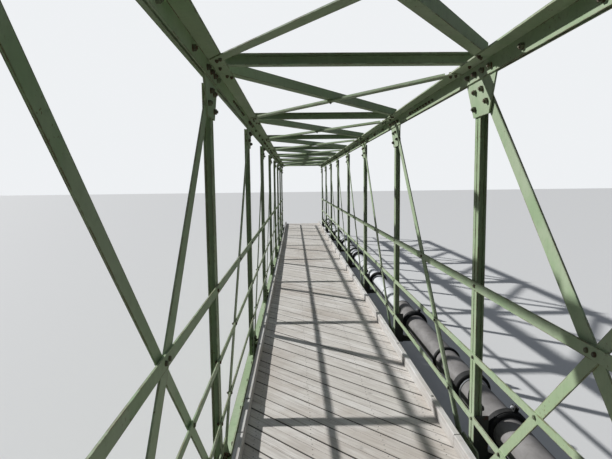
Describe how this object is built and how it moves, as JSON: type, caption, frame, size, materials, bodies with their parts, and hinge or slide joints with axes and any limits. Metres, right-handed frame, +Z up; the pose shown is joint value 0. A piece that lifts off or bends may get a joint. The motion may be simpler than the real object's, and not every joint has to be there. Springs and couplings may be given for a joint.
{
  "type": "through-truss footbridge span",
  "caption": "Narrow steel through-truss footbridge span with crossed roof bracing, side rails, diagonal-board timber deck and a pipe carried outside one truss.",
  "frame": {"origin": "centre of the overall box on the level of the bearings' undersides, at mid-span", "axes": "+Y along the bridge, +Z up, +X towards the truss that carries the pipe"},
  "size_m": [2.229, 37.8, 3.01],
  "materials": {
    "truss_paint": "weathered green paint, semi-matt",
    "deck_timber": "weathered sawn boards, grey-beige",
    "kerb_timber": "weathered sawn timber, grey",
    "pipe_coating": "matt grey coating",
    "band_rubber": "black rubber",
    "bracket_steel": "dark paint, some rust",
    "bearing_steel": "dark weathered steel"
  },
  "bodies": {
    "root": {"bearing_base_plates": "bearing_steel", "bearing_pads": "band_rubber", "bearing_sole_plates": "bearing_steel", "bottom_chord_left": "truss_paint", "bottom_chord_right": "truss_paint", "bottom_gussets_left": "truss_paint", "bottom_gussets_right": "truss_paint", "bottom_laterals_lower": "truss_paint", "bottom_laterals_upper": "truss_paint", "bracing_packers": "truss_paint", "cross_diagonals_left": "truss_paint", "cross_diagonals_right": "truss_paint", "crossing_cleats_left": "truss_paint", "crossing_cleats_right": "truss_paint", "deck": "deck_timber", "diagonals_left": "truss_paint", "diagonals_right": "truss_paint", "end_posts_left": "truss_paint", "end_posts_right": "truss_paint", "floor_beams": "truss_paint", "handrail_left": "truss_paint", "handrail_right": "truss_paint", "kerb_left": "kerb_timber", "kerb_right": "kerb_timber", "lower_rail_left": "truss_paint", "lower_rail_right": "truss_paint", "middle_rail_left": "truss_paint", "middle_rail_right": "truss_paint", "pipe": "pipe_coating", "pipe_bands": "band_rubber", "pipe_bracket_plates": "bracket_steel", "pipe_couplings": "band_rubber", "pipe_lower_arms": "bracket_steel", "pipe_upper_arms": "bracket_steel", "stitch_plates": "truss_paint", "stringers": "truss_paint", "top_chord_left": "truss_paint", "top_chord_right": "truss_paint", "top_gussets_left": "truss_paint", "top_gussets_right": "truss_paint", "top_laterals_lower": "truss_paint", "top_laterals_upper": "truss_paint", "top_struts": "truss_paint", "verticals_left": "truss_paint", "verticals_right": "truss_paint"}
  },
  "joints": []
}
